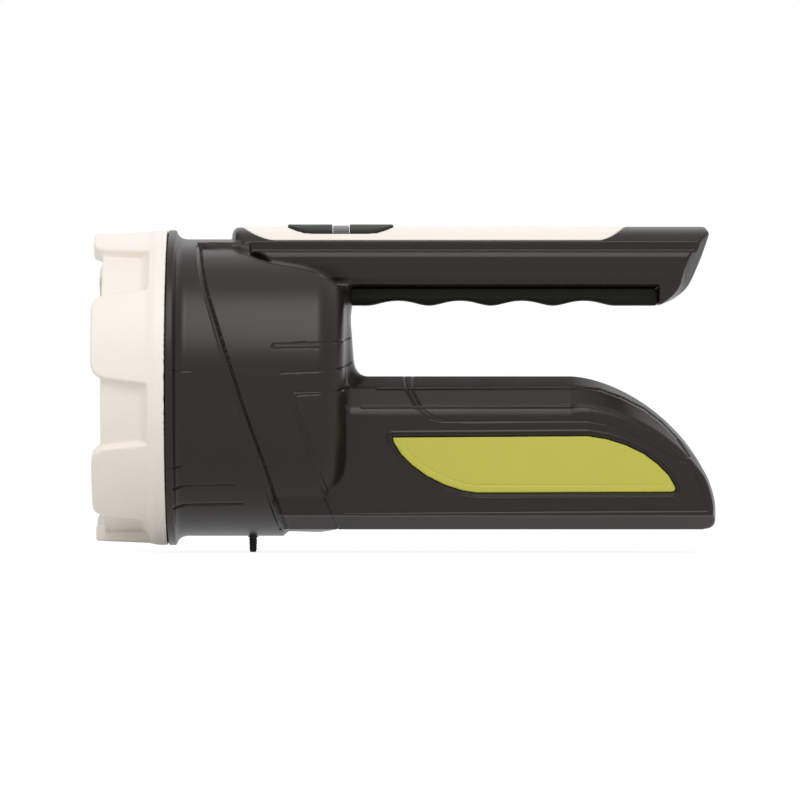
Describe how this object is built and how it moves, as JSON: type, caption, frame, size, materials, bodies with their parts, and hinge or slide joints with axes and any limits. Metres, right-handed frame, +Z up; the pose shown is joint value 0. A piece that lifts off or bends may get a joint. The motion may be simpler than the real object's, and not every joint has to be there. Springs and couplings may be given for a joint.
{
  "type": "hand-held searchlight flashlight",
  "caption": "Hand-held searchlight with a lugged cream bezel, deep reflector, open-ended top handle with press buttons, and a battery tail.",
  "frame": {"origin": "centre of the underside of the lamp's box, level with the tip of the charging plug's tab", "axes": "the beam shines along -X, the tail and the handle's open end point to +X, +Z is up through the handle"},
  "size_m": [0.215, 0.1098, 0.114],
  "materials": {
    "black_plastic": "semi-gloss black, moulded",
    "cream_plastic": "satin cream",
    "lime_plastic": "satin yellow-green",
    "black_rubber": "matt soft rubber",
    "grey_rubber": "matt soft rubber",
    "button_rubber": "matt silicone",
    "window_plastic": "translucent grey",
    "clear_glass": "clear",
    "chrome": "mirror-bright metallised plastic",
    "aluminium": "bead-blasted",
    "steel": "zinc-plated",
    "board_green": "green solder mask",
    "board_white": "white solder mask on a metal core",
    "phosphor": "yellow phosphor under a clear dome",
    "holder_plastic": "matt black",
    "cell_wrap": "blue film wrap",
    "wire_red": "red insulation",
    "wire_black": "black insulation"
  },
  "bodies": {
    "lamp": {"housing_left": "black_plastic", "housing_right": "black_plastic", "bezel": "cream_plastic", "handle_strip": "cream_plastic", "side_panel_left": "lime_plastic", "side_panel_right": "lime_plastic", "handle_grip": "black_rubber", "lens_seal": "black_rubber", "indicator_window": "window_plastic", "lens": "clear_glass", "reflector": "chrome", "heat_sink": "aluminium", "led_board": "board_white", "led_emitter": "phosphor", "driver_board": "board_green", "switch_board": "board_green", "power_switch": "holder_plastic", "mode_switch": "holder_plastic", "charge_socket": "holder_plastic", "battery_holder": "holder_plastic", "battery_cell_1": "cell_wrap", "battery_cell_2": "cell_wrap", "battery_contacts_front": "steel", "battery_contacts_rear": "steel", "housing_screw_1": "steel", "housing_screw_2": "steel", "housing_screw_3": "steel", "housing_screw_4": "steel", "housing_screw_5": "steel", "housing_screw_6": "steel", "lead_led_plus": "wire_red", "lead_led_minus": "wire_black", "lead_battery_plus": "wire_red", "lead_battery_minus": "wire_black", "lead_switch": "wire_black", "lead_charge": "wire_red"},
    "power_key": {"power_button": "button_rubber"},
    "mode_key": {"mode_button": "button_rubber"},
    "charging_plug": {"port_plug": "grey_rubber"}
  },
  "joints": [
    {"name": "power_press", "type": "slide", "parent": "lamp", "child": "power_key", "axis": [0, 0, -1], "range_m": [0, 0.0007], "stiffness_N_per_m": 1500},
    {"name": "mode_press", "type": "slide", "parent": "lamp", "child": "mode_key", "axis": [0, 0, -1], "range_m": [0, 0.0007], "stiffness_N_per_m": 1500},
    {"name": "plug_pull", "type": "slide", "parent": "lamp", "child": "charging_plug", "axis": [0, 0, -1], "range_m": [0, 0.011]}
  ]
}
